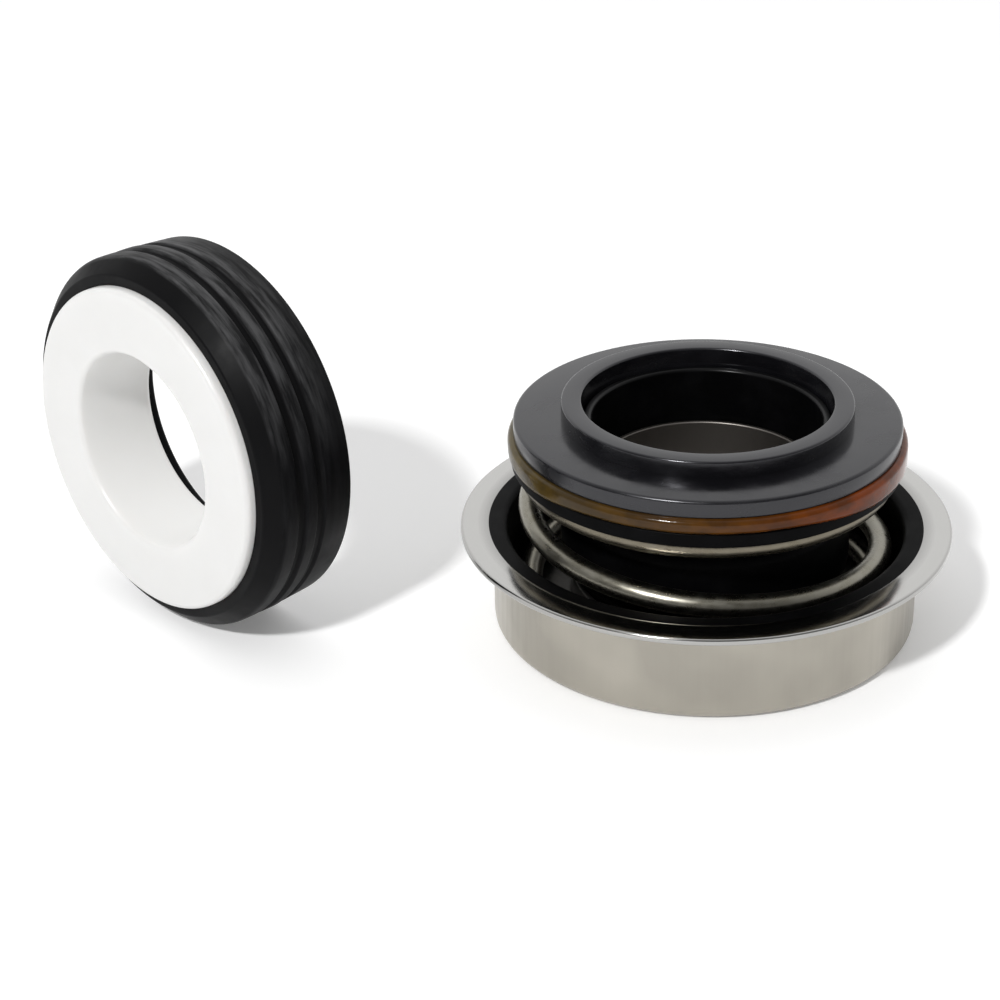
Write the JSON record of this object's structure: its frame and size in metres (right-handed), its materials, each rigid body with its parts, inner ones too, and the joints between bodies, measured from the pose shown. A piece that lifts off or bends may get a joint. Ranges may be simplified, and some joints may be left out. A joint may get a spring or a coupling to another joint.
{
  "type": "component mechanical seal",
  "caption": "Pump shaft seal in two halves: a spring loaded carbon washer on rubber bellows in a flanged steel cup, and a white ceramic seat in a ribbed rubber cup.",
  "frame": {"origin": "on the head's axis, in the plane of the flange's underside, where the head seats in its housing", "axes": "+Z along the head's axis, out of the carbon washer's sealing face; the seat stands on its rim towards -X"},
  "size_m": [0.08, 0.042, 0.0332],
  "materials": {
    "stainless": "drawn stainless, satin outside and brighter on the flange",
    "stainless_dark": "plain pressed stainless, dull",
    "spring_steel": "drawn stainless wire, slightly warm",
    "black_rubber": "moulded nitrile rubber, satin",
    "carbon": "moulded carbon, satin charcoal, lapped face",
    "amber": "glossy amber sealing compound",
    "ceramic": "white alumina, lapped face"
  },
  "bodies": {
    "head": {"shell": "stainless", "bellows": "black_rubber", "tail_ring": "stainless_dark", "spring": "spring_steel"},
    "washer": {"carbon_washer": "carbon", "bond_ring": "amber"},
    "seat": {"ceramic_seat": "ceramic", "seat_cup": "black_rubber"}
  },
  "joints": [
    {"name": "washer_slide", "type": "slide", "parent": "head", "child": "washer", "axis": [0, 0, 1], "range_m": [-0.005, 0], "stiffness_N_per_m": 4500, "deforming": ["spring", "bellows"]},
    {"name": "seat_turn", "type": "hinge", "parent": "head", "child": "seat", "pos_m": [-0.04476, -0.001, 0.008], "axis": [-0.6547, -0.7559, 0], "continuous": true}
  ]
}
